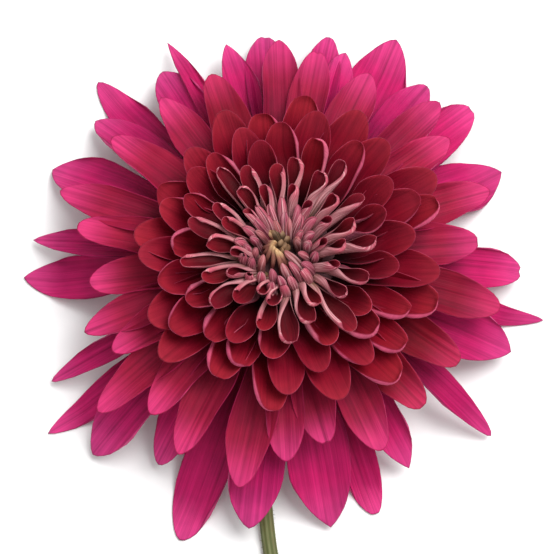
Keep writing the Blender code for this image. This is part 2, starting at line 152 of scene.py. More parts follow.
# Receptacle layers inside the florets' nodes, and the bowl of the calyx: distances from the axis with
# heights, and how many sides they have
DISC_CORE = ((1.3, 25.6), (1.5, 26.6))
INNER_CORE = ((4.9, 20.3), (7.6, 23.2), (7.6, 24.6), (5.0, 25.3))
MIDDLE_CORE = ((6.6, 17.3), (10.6, 19.0), (11.0, 21.0), (8.6, 23.1), (5.6, 20.0))
OUTER_CORE = ((8.6, 14.0), (14.0, 14.4), (15.5, 16.2), (12.5, 18.3), (7.5, 17.0))
CALYX_BOWL = ((2.6, 10.5), (5.0, 10.9), (7.4, 12.1), (8.6, 13.7))
CORE_SIDES = 48

# A closed floret is a tube: how far its sides roll in, half way round being pi, its blade's half width
# over the tube's radius, how far its tip closes, and an opening that lies beyond its tip
CLOSED_ROLL = 3.1
TUBE_GIRTH = 2.8
CLOSED_TIP = 0.999
NEVER_OPENS = 1.1

# From where to where in their layers quills have a mouth, spoons open and fold their borders, and the
# stalks of cups open
QUILL_MOUTHS = (1.1, 1.5)
SPOON_OPENING = (0.1, 1.1)
SPOON_FOLDING = (-0.3, 0.7)
CUP_STALKS = (0.0, 0.4)

# Which part of a spiral floret's border rolls over, 0 being the tip and pi / 2 a side
LOP_RANGE = (-1.8, -0.4)

# The calyx's two rows of bracts, each with how many it has
BRACT_ROWS = (
    (8, Row(4.0, 10.9, 8.4, 11.9, 8, 1.3, 0.3, 0.0)),
    (12, Row(6.2, 11.9, 10.4, 13.4, 8, 1.5, 0.3, 0.0)),
)

# Stem: its radius, its neck under the bloom, the route of its axis to the cut end, its ribs, its leaf
# scars by their place along it and their flank, how high its down starts, and how softly it flattens
STEM_RADIUS = 1.4
STEM_NECK_RADIUS = 2.3
STEM_NECK_LENGTH = 5.0
STEM_LIE = STEM_RADIUS * math.cos(math.pi / 10)
STEM_ROUTE = (
    (0.0, 0.0, 10.2), (0.0, -0.5, 8.8), (0.0, -2.1, 6.3), (-0.2, -5.0, 4.0), (-0.5, -9.2, 2.4),
    (-1.1, -14.5, 1.6), (-1.9, -20.5, STEM_LIE), (-3.0, -30.0, STEM_LIE), (-3.6, -41.0, STEM_LIE),
    (-2.9, -50.0, STEM_LIE), (-1.7, -58.0, STEM_LIE), (0.1, -68.0, STEM_LIE), (2.1, -78.0, STEM_LIE),
    (4.2, -88.0, STEM_LIE),
)
STEM_STEPS = 6
STEM_RIBS = 9.0
SCARS = ((41.5, 1.0), (70.0, -1.0))
SCAR_LENGTH = 1.3
SCAR_BREADTH = 0.35
DOWN_START = 0.9
STEM_BLEND = 0.4

# How the photograph is framed: its size, how many pixels one millimetre of the bloom takes, where the
# bloom's centre lies in it, how high the camera stands and how far away
PHOTO_SIZE = 554
PHOTO_SCALE = 5.1
BLOOM_PIXEL = (283, 285)
CAMERA_HEIGHT = 75.5
CAMERA_DISTANCE = 950.0
CAMERA_SENSOR = 36.0

# How the trees form a blade, in shares of its length and of its half width. The rim's thickening and the
# blend with the surface are in millimetres, and the last value keeps a division from failing.
CROWDED_SIDES = 0.8
CROWDED_TIP = 0.6
TIP_CURL_START = 0.62
CLOSE_START = 0.76
NOTCH_WIDTH = 0.16
TIP_BORDER = (0.6, 1.0)
ROLLED_BORDER = (0.25, 0.85)
DRAWN_BORDER = (-0.1, 0.6)
MIDDLE_CREASE = 0.09
SIDE_CREASE = 0.08
SIDE_CREASE_PLACE = 0.5
SIDE_CREASE_DEPTH = 0.6
CREASES_START = (0.12, 0.4)
CREASES_END = (0.86, 1.0)
RIPPLE_COUNT = 1.7
RIPPLE_SLANT = 0.9
RIPPLES_START = (0.25, 0.7)
RIM_THICKNESS = 0.35
RIM_THICKENS = (0.0, 0.7)
SURFACE_BLEND = 0.5
NEVER_NOTHING = 0.0001

# What the meshes keep for their finishes
KEPT = ("along", "across", "face", "rim", "place", "chance")
KEPT_ON_STEM = ("rib", "flank", "scar")
KEPT_BY_BLENDER = ("material_index", "sharp_face")

# Pale floor and light: white all round, and one soft square lamp over the bloom's upper right
FLOOR_LOW = (0.9, 0.9, 0.9, 1.0)
FLOOR_HIGH = (0.94, 0.94, 0.94, 1.0)
FLOOR_REACH = 3.0
FLOOR_DROP = 0.0002
WORLD_STRENGTH = 0.68
LAMP_DIRECTION = (0.36, 0.22, 1.0)
LAMP_DISTANCE = 1.8
LAMP_SIZE = 1.1
LAMP_POWER = 36.0
LIT_HEIGHT = 0.02

# The bloom's axis, which the calyx stands round
LOW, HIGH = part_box("calyx")
AXIS = Vector((0.5 * (LOW[0] + HIGH[0]), 0.5 * (LOW[1] + HIGH[1]), 0.0))


def between(low, high, share):
    return low + (high - low) * share


def row_between(first, second, share):
    return Row(*(between(a, b, share) for a, b in zip(first, second)))


def smooth_step(value, low=0.0, high=1.0):
    """0 below low, 1 above high and smooth between them"""
    share = min(max((value - low) / (high - low), 0.0), 1.0)
    return share * share * (3.0 - 2.0 * share)


def bell(value, width):
    """1 where the value is 0, falling to 0 beyond the width"""
    return math.exp(-(value / width) ** 2)


def degrees_off(direction, azimuth):
    """How far one direction is from another, from -180 to 180 degrees"""
    return (direction - azimuth + 180.0) % 360.0 - 180.0


def facing(direction, azimuth, change):
    """1 for florets that point to an azimuth, 0 for those on the other side"""
    return smooth_step(0.5 + change * math.cos(direction - math.radians(azimuth)))


def seen_along(shift, direction):
    """A shift as a floret in this direction sees it: outwards and sideways"""
    outwards = shift[0] * math.cos(direction) + shift[1] * math.sin(direction)
    sideways = shift[1] * math.cos(direction) - shift[0] * math.sin(direction)
    return outwards, sideways


# One floret, as the trees read it: where it points, its root, the arc of its midline, its half width, how
# far its stalk's and its blade's sides roll in, its tip's curl, its sway and twist, how much of its width
# its claw has, its tip's power and start, its notch, how far its tip closes, where it starts to open, how
# much and which part of its border rolls over, 0 being the tip, how far beside its plane its root stands,
# how far its seam is turned along the stalk, its place among the colours, and its chance
Floret = namedtuple(
    "Floret", "direction root_out root_up rise bend length half_width stalk_roll roll curl sway twist "
    "claw tip tip_start notch close opens fold lop root_side skew place chance")


def floret_on(row, direction, sway, twist, **looks):
    """A floret whose midline is the arc through its root and its tip that leaves the root at its rise"""
    out = row.tip_r - row.root_r
    up = row.tip_z - row.root_z
    rise = math.radians(row.rise)
    bend = math.atan2(up, out) - rise
    length = math.hypot(out, up) * (bend / math.sin(bend) if abs(bend) > 1e-6 else 1.0)
    values = dict(
        direction=direction, root_out=row.root_r, root_up=row.root_z, rise=rise, bend=bend, length=length,
        half_width=row.half_width, stalk_roll=1.0, roll=row.roll, curl=row.curl, sway=sway, twist=twist,
        notch=0.0, close=0.0, opens=0.25, fold=0.0, lop=0.0, root_side=0.0, skew=0.0)
    values.update(looks)
    return Floret(**values)


def parting(direction):
    """1 where the heart's florets part, falling to 0 on both sides"""
    return bell(degrees_off(math.degrees(direction), PARTING_AZIMUTH), PARTING_SPREAD)


def slit_sway(direction, reach):
    """How far a floret's tip gives way sideways, so that a slit opens among the heart's florets"""
    off = degrees_off(math.degrees(direction), SLIT_AZIMUTH)
    near = bell(off, SLIT_SPREAD) * bell(max(0.0, reach - SLIT_REACH), SLIT_FADE)
    near *= smooth_step(reach, *SLIT_OPENS)
    return math.copysign(SLIT_WIDTH * near, off)


def spiral_florets(first, layer, draw, dress):
    """A layer's florets, each with the looks that dress gives for its share of the layer and a chance"""
    looks_draw = random.Random(SEED + 100 + first)
    nearest = math.sqrt(first + 0.5)
    furthest = math.sqrt(first + layer.count - 0.5)
    florets = []
    for place in range(first, first + layer.count):
        share = (math.sqrt(place + 0.5) - nearest) / (furthest - nearest)
        direction = place * GOLDEN_ANGLE + math.radians(draw.uniform(-DIRECTION_PLAY, DIRECTION_PLAY))
        row = row_between(layer.inner, layer.outer, share)
        lean = between(layer.lean, layer.outer_lean, share)
        lean_out, lean_aside = seen_along(HEART_LEAN, direction)
        reach = lean * lean_out + layer.part * parting(direction)
        reach += layer.spread * draw.uniform(-1.0, 1.0)
        row = row._replace(
            tip_r=row.tip_r + reach,
            tip_z=row.tip_z + HEIGHT_PLAY * layer.spread * draw.uniform(-1.0, 1.0),
            half_width=row.half_width * draw.uniform(1.0 - WIDTH_PLAY, 1.0 + WIDTH_PLAY),
        )
        sway = lean * lean_aside + SWAY_PLAY * layer.spread * draw.uniform(-1.0, 1.0)
        sway += slit_sway(direction, row.tip_r)
        twist = draw.uniform(-TWIST_PLAY, TWIST_PLAY)
        chance = looks_draw.random()
        row, looks = dress(row, share, chance, direction)
        root_shift = looks.pop("root_shift", 0.0)
        root_out, root_side = seen_along(HEART_ROOT, direction)
        row = row._replace(root_r=row.root_r + root_shift * root_out)
        twist = math.radians(twist + looks_draw.uniform(-1.0, 1.0) * looks.pop("turn"))
        late = max(0.0, math.cos(direction - math.radians(LATE_AZIMUTH)))
        looks["opens"] += looks.pop("late", 0.0) * late
        lop = looks_draw.uniform(*LOP_RANGE) * looks.pop("lop_share", 1.0)
        florets.append(floret_on(
            row, direction, sway, twist, lop=lop, root_side=root_shift * root_side, chance=chance,
            **looks))
    return florets


# Each dress changes a floret's row and says its looks, and besides them how far chance turns the floret
# about its midline, how much later it opens on the late side, how much of the shift of the heart's roots
# it takes, and how much of its lop it keeps
def dress_bud(row, share, chance, direction):
    """A slim rod that leans in over the centre on the near side, and a round bud on the far one"""
    far = facing(direction, BUD_AZIMUTH, BUD_CHANGE)
    rod = row._replace(
        root_r=4.6, root_z=25.0, tip_r=0.4 * row.tip_r + 0.2, tip_z=row.tip_z + 0.6, rise=100.0,
        half_width=1.3)
    bud = row._replace(
        root_r=1.3 * row.root_r, root_z=25.6, tip_r=1.5 * row.tip_r + 0.5, tip_z=28.9, half_width=2.5)
    return row_between(rod, bud, far)._replace(roll=CLOSED_ROLL, curl=0.0), dict(
        stalk_roll=CLOSED_ROLL, claw=0.8, tip=1.6, tip_start=1.0, close=CLOSED_TIP, opens=NEVER_OPENS,
        place=far, turn=40.0)


def dress_quill(row, share, chance, direction):
    """A closed floret: a slim tube that swells into a club, with a small mouth in some outer ones"""
    opened = smooth_step(share + 0.5 * chance, *QUILL_MOUTHS)
    near = facing(direction, NEAR_AZIMUTH, NEAR_CHANGE)
    lean_out = between(0.9, -0.5, near) * (1.0 - share)
    row = row._replace(
        half_width=row.half_width * TUBE_GIRTH, roll=between(CLOSED_ROLL, 2.3, opened),
        root_z=row.root_z + 1.2, tip_r=row.tip_r + lean_out, rise=row.rise - NEAR_ARCH * near,
        curl=between(0.8, 0.3, share))
    return row, dict(
        stalk_roll=CLOSED_ROLL, claw=0.6, tip=1.7, tip_start=between(1.0, 0.84, opened),
        close=between(CLOSED_TIP, 0.35, opened), opens=0.76, place=0.35 * share,
        turn=60.0, root_shift=1.0)


def dress_spoon(row, share, chance, direction):
    """A tube that opens into a scoop at its end, wider and for longer in the outer ones"""
    opened = smooth_step(1.2 * share + 0.5 * chance, *SPOON_OPENING)
    row = row._replace(
        half_width=row.half_width * between(1.6, 1.2, share),
        roll=between(2.3, 1.35, opened), curl=row.curl * 1.6)
    return row, dict(
        stalk_roll=CLOSED_ROLL, claw=0.92, tip=2.0, tip_start=between(0.86, 0.8, share), close=0.2,
        fold=smooth_step(opened, *SPOON_FOLDING) * between(0.6, 1.0, chance),
        skew=between(-1.3, -0.5, chance), opens=between(0.56, 0.38, opened),
        place=0.35 + 0.65 * share, turn=32.0, late=0.2, root_shift=0.6 * (1.0 - share))


def dress_cup(row, share, chance, direction):
    """A deep scoop with a round tip, whose stalk is more open in the outer ones"""
    row = row._replace(
        roll=row.roll * between(1.3, 1.1, share), half_width=row.half_width * 1.1,
        curl=row.curl * 1.25)
    return row, dict(
        stalk_roll=between(2.4, 0.9, smooth_step(share, *CUP_STALKS)),
        claw=between(0.4, 0.24, share), tip=between(2.0, 2.4, chance), tip_start=0.72,
        close=0.15, fold=smooth_step(1.8 * chance - 0.7 * share) * between(1.0, 0.8, share),
        skew=between(-1.1, -0.2, chance) * (1.0 - 0.8 * share),
        opens=between(0.42, 0.24, share), place=share, turn=14.0, late=0.12,
        lop_share=1.0 - 0.5 * share)


def browning(direction):
    """How near a lower floret is to the sides where they are browner, 1 being there"""
    return max(bell(degrees_off(direction, side), spread) for side, spread in BROWNED_SIDES)


def listed_florets(listing, row, draw, low_place, high_place):
    """Florets of a lower row, each with its own direction, reach, width and height of tip, and with a
    place between two limits"""
    looks_draw = random.Random(SEED + 300 + len(listing))
    florets = []
    for direction, reach, width, tip_height in listing:
        share = BROWNED_WEIGHT * browning(direction) + (1.0 - BROWNED_WEIGHT) * looks_draw.random()
        place = between(low_place, high_place, share)
        sway = draw.uniform(-LOWER_SWAY, LOWER_SWAY)
        own = row._replace(tip_r=reach, tip_z=tip_height, half_width=0.5 * width)
        if tip_height == RESTING:
            own = own._replace(rise=RESTING_RISE, curl=0.0)
        twist = math.radians(SHINGLE + draw.uniform(-SHINGLE_PLAY, SHINGLE_PLAY))
        tip = draw.uniform(*TIP_RANGE) + ROUNDER_TIP * place
        broad = smooth_step(width, *WIDTH_RANGE)
        tip_start = between(*TIP_STARTS, broad)
        notch = max(0.0, looks_draw.uniform(*NOTCH_RANGE))
        lop = math.copysign(LOWER_LOP, looks_draw.uniform(*LOP_SIDE_RANGE))
        florets.append(floret_on(
            own, math.radians(direction) - sway / reach, sway, twist, claw=LOWER_CLAW, tip=tip,
            tip_start=tip_start, notch=notch, fold=1.0 - place, lop=lop, place=place,
            chance=looks_draw.random()))
    return florets


class Field:
    """A number or a vector that a node tree works out at every point, written as in a formula"""

    def __init__(self, kit, socket):
        self.kit = kit
        self.socket = socket

    def __add__(self, other):
        return self.kit.work("ADD", self, other)

    __radd__ = __add__

    def __sub__(self, other):
        return self.kit.work("SUBTRACT", self, other)

    def __rsub__(self, other):
        return self.kit.work("SUBTRACT", other, self)

    def __mul__(self, other):
        return self.kit.work("MULTIPLY", self, other)

    __rmul__ = __mul__

    def __truediv__(self, other):
        return self.kit.work("DIVIDE", self, other)

    def __neg__(self):
        return self.kit.work("MULTIPLY", self, -1.0)


class Kit:
    """Adds the nodes of formulas to a geometry tree or to a material's tree"""

    def __init__(self, tree):
        self.tree = tree

    def add(self, kind, values=None, **settings):
        node = self.tree.nodes.new(kind)
        for name, value in settings.items():
            setattr(node, name, value)
        for name, value in (values or {}).items():
            self.feed(node.inputs[name], value)
        return node

    def feed(self, socket, value):
        if isinstance(value, Field):
            self.tree.links.new(value.socket, socket)
        else:
            socket.default_value = value

    def attribute(self, name):
        node = self.add("ShaderNodeAttribute", attribute_name=name)
        return Field(self, node.outputs["Fac"])

    def work(self, operation, *values):
        """A step of arithmetic, on vectors where a value is one"""
        vectors = [isinstance(v, Field) and v.socket.type == "VECTOR" for v in values]
        kind = "ShaderNodeVectorMath" if any(vectors) else "ShaderNodeMath"
        given = dict(enumerate(values))
        if operation == "MULTIPLY" and any(vectors) and not all(vectors):
            vector, factor = values if vectors[0] else reversed(values)
            operation = "SCALE"
            given = {0: vector, "Scale": factor}
        return Field(self, self.add(kind, given, operation=operation).outputs[0])

    def sine(self, angle):
        return self.work("SINE", angle)

    def cosine(self, angle):
        return self.work("COSINE", angle)

    def length_of(self, vector):
        node = self.add("ShaderNodeVectorMath", {0: vector}, operation="LENGTH")
        return Field(self, node.outputs["Value"])

    def size_of(self, value):
        return self.work("ABSOLUTE", value)

    def most(self, first, second):
        return self.work("MAXIMUM", first, second)

    def bell(self, value, width):
        """1 where the value is 0, falling to 0 beyond the width"""
        return self.work("EXPONENT", -((value / width) * (value / width)))

    def creases(self, across, middle, side):
        """1 along a floret's middle and less half way to its sides, each with its own width"""
        beside = self.bell(self.size_of(across) - SIDE_CREASE_PLACE, side) * SIDE_CREASE_DEPTH
        return self.bell(across, middle) + beside

    def step(self, value, low, high):
        """0 below low, 1 above high and smooth between them"""
        values = {"Value": value, "From Min": low, "From Max": high}
        node = self.add("ShaderNodeMapRange", values, interpolation_type="SMOOTHSTEP")
        return Field(self, node.outputs["Result"])

    def vector(self, x, y, z):
        return Field(self, self.add("ShaderNodeCombineXYZ", {"X": x, "Y": y, "Z": z}).outputs[0])

    def parts(self, vector):
        node = self.add("ShaderNodeSeparateXYZ", {0: vector})
        return [Field(self, output) for output in node.outputs]


class GeometryKit(Kit):
    """A geometry tree with named inputs"""

    kinds = {float: "NodeSocketFloat", int: "NodeSocketInt", Vector: "NodeSocketVector"}

    def __init__(self, name, sizes):
        super().__init__(bpy.data.node_groups.new(name, "GeometryNodeTree"))
        face = self.tree.interface
        face.new_socket("Geometry", in_out="INPUT", socket_type="NodeSocketGeometry")
        face.new_socket("Geometry", in_out="OUTPUT", socket_type="NodeSocketGeometry")
        for label, value in sizes.items():
            face.new_socket(label, in_out="INPUT", socket_type=self.kinds[type(value)])
        face.new_socket("Finish", in_out="INPUT", socket_type="NodeSocketMaterial")
        self.entry = self.tree.nodes.new("NodeGroupInput")

    def given(self, label):
        return Field(self, self.entry.outputs[label])

    def shape(self, kind, values=None, **settings):
        return Field(self, self.add(kind, values, **settings).outputs[0])

    def position(self):
        return self.shape("GeometryNodeInputPosition")

    def moved(self, geometry, position):
        return self.shape("GeometryNodeSetPosition", {"Geometry": geometry, "Position": position})

    def realised(self, geometry):
        return self.shape("GeometryNodeRealizeInstances", {"Geometry": geometry})

    def joined(self, *pieces):
        node = self.add("GeometryNodeJoinGeometry")
        for one in pieces:
            self.tree.links.new(one.socket, node.inputs[0])
        return Field(self, node.outputs[0])

    def attribute(self, name, data_type="FLOAT"):
        node = self.add("GeometryNodeInputNamedAttribute", {"Name": name}, data_type=data_type)
        return Field(self, node.outputs["Attribute"])

    def store(self, geometry, name, value, data_type="FLOAT"):
        values = {"Geometry": geometry, "Name": name, "Value": value}
        return self.shape("GeometryNodeStoreNamedAttribute", values, data_type=data_type)

    def end(self, geometry):
        """Real meshes, moved to the bloom's axis in metres, smooth and with their finish"""
        geometry = self.moved(geometry, self.position() * MM + self.given("Axis"))
        geometry = self.realised(self.shape("GeometryNodeSetShadeSmooth", {"Geometry": geometry}))
        values = {"Geometry": geometry, "Material": self.given("Finish")}
        geometry = self.shape("GeometryNodeSetMaterial", values)
        self.feed(self.tree.nodes.new("NodeGroupOutput").inputs[0], geometry)
        return self.tree


def floret_tree(name, sizes):
    """One closed blade on every seat, bent along its floret's midline and rolled about it"""
    kit = GeometryKit(name, sizes)
    seated = kit.add("GeometryNodeSeparateGeometry", {
        "Geometry": kit.given("Geometry"), "Selection": kit.attribute("seat")})
    plate = kit.shape("GeometryNodeMeshCube", {
        "Size": (2.0, 1.0, 2.0), "Vertices X": kit.given("Columns"), "Vertices Y": kit.given("Rows"),
        "Vertices Z": 2})
    plate = kit.store(plate, "grid", kit.position(), "FLOAT_VECTOR")
    blades = kit.realised(kit.shape("GeometryNodeInstanceOnPoints", {
        "Points": Field(kit, seated.outputs["Selection"]), "Instance": plate}))
    own = Floret(*(kit.attribute(field) for field in Floret._fields))

    grid_x, grid_y, face = kit.parts(kit.attribute("grid", "FLOAT_VECTOR"))
    across = kit.sine(grid_x * (0.5 * math.pi)) * CROWDED_SIDES + grid_x * (1.0 - CROWDED_SIDES)
    side = kit.size_of(across)
    reach = kit.most(1.0 - kit.work("POWER", side, own.tip), 0.0)
    border = between(own.tip_start, 1.0, kit.work("SQRT", reach))
    border = border - own.notch * kit.bell(across, NOTCH_WIDTH)
    row = grid_y + 0.5
    share = row * (1.0 + CROWDED_TIP - row * CROWDED_TIP)
    along = share * border

    heading = own.bend * along + NEVER_NOTHING
    run = own.length * along * kit.sine(heading) / heading
    end = own.rise + own.bend * 2.0
    hook_share = kit.most((along - TIP_CURL_START) / (1.0 - TIP_CURL_START), 0.0)
    hook = own.curl * hook_share * hook_share
    hook_slope = own.curl * hook_share * (2.0 / (1.0 - TIP_CURL_START))
    centre = kit.vector(
        own.root_out + run * kit.cosine(own.rise + heading) - hook * kit.sine(end),
        own.sway * along * along + own.root_side * (1.0 - along) * (1.0 - along),
        own.root_up + run * kit.sine(own.rise + heading) + hook * kit.cosine(end))
    slope = own.rise + own.bend * along * 2.0
    forward = kit.work("NORMALIZE", kit.vector(
        own.length * kit.cosine(slope) - hook_slope * kit.sine(end),
        own.sway * along * 2.0 - own.root_side * (1.0 - along) * 2.0,
        own.length * kit.sine(slope) + hook_slope * kit.cosine(end)))
    level = kit.work("NORMALIZE", kit.vector(0.0, 1.0, 0.0) - forward * kit.parts(forward)[1])
    upright = kit.work("CROSS_PRODUCT", forward, level)
    turn = own.twist * along
    sideways = level * kit.cosine(turn) + upright * kit.sine(turn)
    inward = upright * kit.cosine(turn) - level * kit.sine(turn)

    opening = kit.step(along, own.opens, own.opens + kit.given("Opens over"))
    roll = between(own.stalk_roll, own.roll, opening)
    limb = between(own.claw, 1.0, kit.step(along, kit.given("Limb from"), kit.given("Limb to")))
    closing = kit.most((along - CLOSE_START) / (1.0 - CLOSE_START), 0.0)
    closing = kit.work("SQRT", 1.0 - own.close * closing * closing)
    width = own.half_width * limb * closing
    angle = roll * across + own.skew * (1.0 - opening)
    radius = width / roll
    point = centre + sideways * (radius * kit.sine(angle))
    point = point + inward * (radius * (1.0 - kit.cosine(angle)))
    normal = inward * kit.cosine(angle) - sideways * kit.sine(angle)

    rim = kit.work("MINIMUM", (1.0 - side) * width, (1.0 - share) * own.length)
    tipward = (1.0 - side * side) * kit.step(share, *TIP_BORDER)
    edge = kit.most(1.0 - rim / kit.given("Fold width"), 0.0)
    toward = kit.sine(own.lop) * across * side + kit.cosine(own.lop) * tipward
    fold = edge * kit.given("Fold") * own.fold * opening * kit.step(toward, *ROLLED_BORDER)
    fold = fold + NEVER_NOTHING
    strip = edge * kit.given("Fold width")
    skirt = sideways * kit.cosine(angle) + inward * kit.sine(angle)
    outwards = kit.work("NORMALIZE", skirt * (across * side) + forward * (tipward + NEVER_NOTHING))
    point = point + outwards * (strip * (kit.sine(fold) / fold - 1.0))
    point = point + normal * (strip * (1.0 - kit.cosine(fold)) / fold)
    normal = normal * kit.cosine(fold) - outwards * kit.sine(fold)

    creases = kit.creases(across, MIDDLE_CREASE, SIDE_CREASE)
    creases = creases * kit.step(along, *CREASES_START) * (1.0 - kit.step(along, *CREASES_END))
    wave = kit.sine((along * RIPPLE_COUNT + own.chance) * (2.0 * math.pi) + across * RIPPLE_SLANT)
    lift = kit.given("Ripple") * wave * side * side * kit.step(along, *RIPPLES_START)
    lift = lift - kit.given("Crease") * creases
    thin = between(RIM_THICKNESS, 1.0, kit.step(rim, *RIM_THICKENS))
    half_thickness = kit.given("Thickness") * 0.5
    point = point + normal * (lift + face * half_thickness * thin)

    out, aside, height = kit.parts(point)
    height = kit.work("SMOOTH_MAX", height, half_thickness * (face + 1.0), SURFACE_BLEND)
    turned = kit.shape("ShaderNodeVectorRotate", {
        "Vector": kit.vector(out, aside, height), "Angle": own.direction}, rotation_type="Z_AXIS")
    # Where the border isn't rolled over, the rim colour, partly painted sheen, is held back
    plain = kit.given("Plain rim") * (1.0 - kit.step(toward, *DRAWN_BORDER))
    for label, value in (("along", along), ("across", across), ("face", face), ("rim", rim + plain)):
        blades = kit.store(blades, label, value)
    core = Field(kit, seated.outputs["Inverted"])
    return kit.end(kit.joined(core, kit.moved(blades, turned)))


def turned_core(profile):
    """Points and faces of a solid of revolution with flat ends"""
    angles = [2.0 * math.pi * side / CORE_SIDES for side in range(CORE_SIDES)]
    points = [
        (radius * math.cos(angle), radius * math.sin(angle), height)
        for radius, height in profile for angle in angles]
    last = len(points) - CORE_SIDES
    sides = [(side, (side + 1) % CORE_SIDES) for side in range(CORE_SIDES)]
    faces = [
        (low + side, low + after, low + CORE_SIDES + after, low + CORE_SIDES + side)
        for low in range(0, last, CORE_SIDES) for side, after in sides]
    return points, faces + [tuple(reversed(range(CORE_SIDES))), tuple(range(last, len(points)))]


def placed(name, data):
    """A new object in the scene"""
    thing = bpy.data.objects.new(name, data)
    bpy.context.scene.collection.objects.link(thing)
    return thing


def seat_object(name, core, florets):
    """A mesh that holds a core and one loose point for each floret, with the floret's values on it"""
    points, faces = turned_core(core)
    spare = len(points)
    mesh = bpy.data.meshes.new(name)
    mesh.from_pydata(points + [(0.0, 0.0, 0.0)] * len(florets), [], faces)
    columns = {"seat": [0.0] * spare + [1.0] * len(florets)}
    for index, field in enumerate(Floret._fields):
        columns[field] = [0.0] * spare + [floret[index] for floret in florets]
    for field, values in columns.items():
        mesh.attributes.new(field, "FLOAT", "POINT").data.foreach_set("value", values)
    return placed(name, mesh)


def run_tree(thing, tree, sizes, material, kept=KEPT):
    """Turns what the tree makes of an object into the object's own plain mesh"""
    modifier = thing.modifiers.new("form", "NODES")
    modifier.node_group = tree
    given = {**sizes, "Finish": material}
    for item in tree.interface.items_tree:
        if item.name in given:
            modifier[item.identifier] = given[item.name]
    graph = bpy.context.evaluated_depsgraph_get()
    mesh = bpy.data.meshes.new_from_object(thing.evaluated_get(graph))
    thing.modifiers.clear()
    thing.data = mesh
    for attribute in list(mesh.attributes):
        needed = attribute.name in kept + KEPT_BY_BLENDER
        if not (needed or attribute.is_required or attribute.is_internal):
            mesh.attributes.remove(attribute)


def piece(node, thing):
    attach(thing, "root")
    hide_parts(node)


def blade_sizes(**own):
    """A tree's sizes: these values, save those given"""
    sizes = {
        "Columns": 17, "Rows": 41, "Thickness": 0.34, "Opens over": 0.4, "Limb from": 0.12,
        "Limb to": 0.62, "Ripple": 0.0, "Crease": 0.0, "Fold": 0.0, "Fold width": 1.5,
        "Plain rim": 0.0, "Axis": AXIS,
    }
    sizes.update({label.replace("_", " ").capitalize(): value for label, value in own.items()})
    return sizes


def smooth_route(points, steps):
    """Points of a smooth curve through the given ones"""
    padded = [2.0 * points[0] - points[1], *points, 2.0 * points[-1] - points[-2]]
    route = []
    for index in range(1, len(padded) - 2):
        a, b, c, d = padded[index - 1:index + 3]
        for step in range(steps):
            t = step / steps
            route.append(0.5 * (2.0 * b + (c - a) * t + (2.0 * a - 5.0 * b + 4.0 * c - d) * t ** 2
                                + (3.0 * b - a - 3.0 * c + d) * t ** 3))
    route.append(points[-1])
    return route


def stem_tree(sizes):
    """A ribbed tube along the stem's route, flat where it lies, with two leaf scars and fine down"""
    kit = GeometryKit("stem_form", sizes)
    curve = kit.shape("GeometryNodeMeshToCurve", {"Mesh": kit.given("Geometry")})
    travelled = kit.add("GeometryNodeSplineParameter").outputs["Length"]
    curve = kit.store(curve, "travel", Field(kit, travelled))
    ring = kit.shape("GeometryNodeCurvePrimitiveCircle", {
        "Resolution": kit.given("Sides"), "Radius": 1.0})
    x, y, z = kit.parts(kit.position())
    angle = kit.work("ARCTAN2", y, x)
    rib = kit.cosine(angle * STEM_RIBS)
    ring = kit.store(ring, "rib", rib)
    ring = kit.store(ring, "flank", kit.cosine(angle))
    swell = 1.0 + kit.given("Rib height") * rib
    ring = kit.moved(ring, kit.vector(x * swell, y * swell, z))
    tube = kit.shape("GeometryNodeCurveToMesh", {
        "Curve": curve, "Profile Curve": ring, "Scale": kit.attribute("girth"), "Fill Caps": True})
    travel = kit.attribute("travel")
    flank = kit.attribute("flank")
    upper, lower = (
        kit.bell(travel - place, SCAR_LENGTH) * kit.bell(flank - side, SCAR_BREADTH)
        for place, side in SCARS)
    scars = upper + lower
    normal = kit.shape("GeometryNodeInputNormal")
    spot = kit.position() + normal * (scars * kit.given("Scar height"))
    tube = kit.store(tube, "scar", scars)
    x, y, z = kit.parts(spot)
    tube = kit.moved(tube, kit.vector(x, y, kit.work("SMOOTH_MAX", z, 0.0, STEM_BLEND)))
    clear = kit.work("GREATER_THAN", kit.parts(kit.position())[2], DOWN_START)
    spots = kit.add("GeometryNodeDistributePointsOnFaces", {
        "Mesh": tube, "Selection": clear, "Density": kit.given("Down"), "Seed": SEED})
    hair = kit.shape("GeometryNodeMeshCone", {
        "Vertices": 3, "Radius Top": 0.004, "Radius Bottom": 0.03, "Depth": kit.given("Down length")})
    down = kit.realised(kit.shape("GeometryNodeInstanceOnPoints", {
        "Points": Field(kit, spots.outputs["Points"]), "Instance": hair,
        "Rotation": Field(kit, spots.outputs["Rotation"])}))
    return kit.end(kit.joined(down, tube))


def colour(red, green, blue):
    """A colour as a screen shows it, from 0 to 255, in linear light"""
    shares = (red / 255.0, green / 255.0, blue / 255.0)
    return (*(((share + 0.055) / 1.055) ** 2.4 for share in shares), 1.0)


